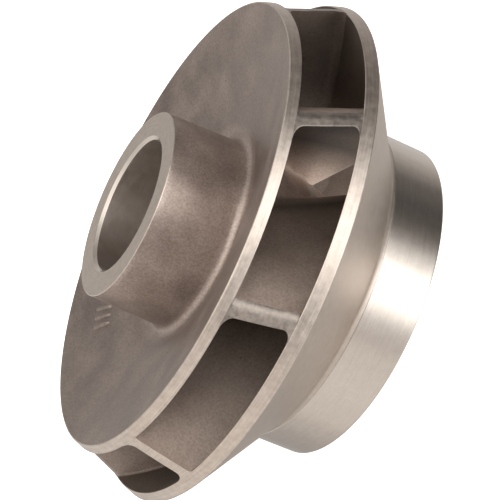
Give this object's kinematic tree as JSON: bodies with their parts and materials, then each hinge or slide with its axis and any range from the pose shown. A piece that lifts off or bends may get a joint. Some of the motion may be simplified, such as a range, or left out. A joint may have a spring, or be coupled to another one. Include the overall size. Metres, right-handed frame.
{
  "type": "pump impeller",
  "caption": "Closed mixed-flow pump impeller: hub boss with plain bore, dished back shroud, backward-curved vanes, conical front shroud and turned eye ring.",
  "frame": {"origin": "centre of the eye ring's flat end, on the shaft axis, at the lowest point of the impeller as it stands on its eye", "axes": "+Z along the shaft axis from the suction eye to the hub face; +X points to the middle of the part of the rim that faces the picture's camera"},
  "size_m": [0.1688, 0.1688, 0.0832],
  "materials": {
    "cast_steel": "as-cast stainless steel, satin, faintly pitted, warm grey-brown",
    "machined_steel": "turned stainless steel with fine lathe marks"
  },
  "bodies": {
    "root": {"hub": "cast_steel", "back_shroud": "cast_steel", "front_shroud": "cast_steel", "eye_ring": "machined_steel", "vane_1": "cast_steel", "vane_2": "cast_steel", "vane_3": "cast_steel", "vane_4": "cast_steel", "vane_5": "cast_steel", "vane_6": "cast_steel", "vane_7": "cast_steel", "vane_8": "cast_steel"}
  },
  "joints": []
}
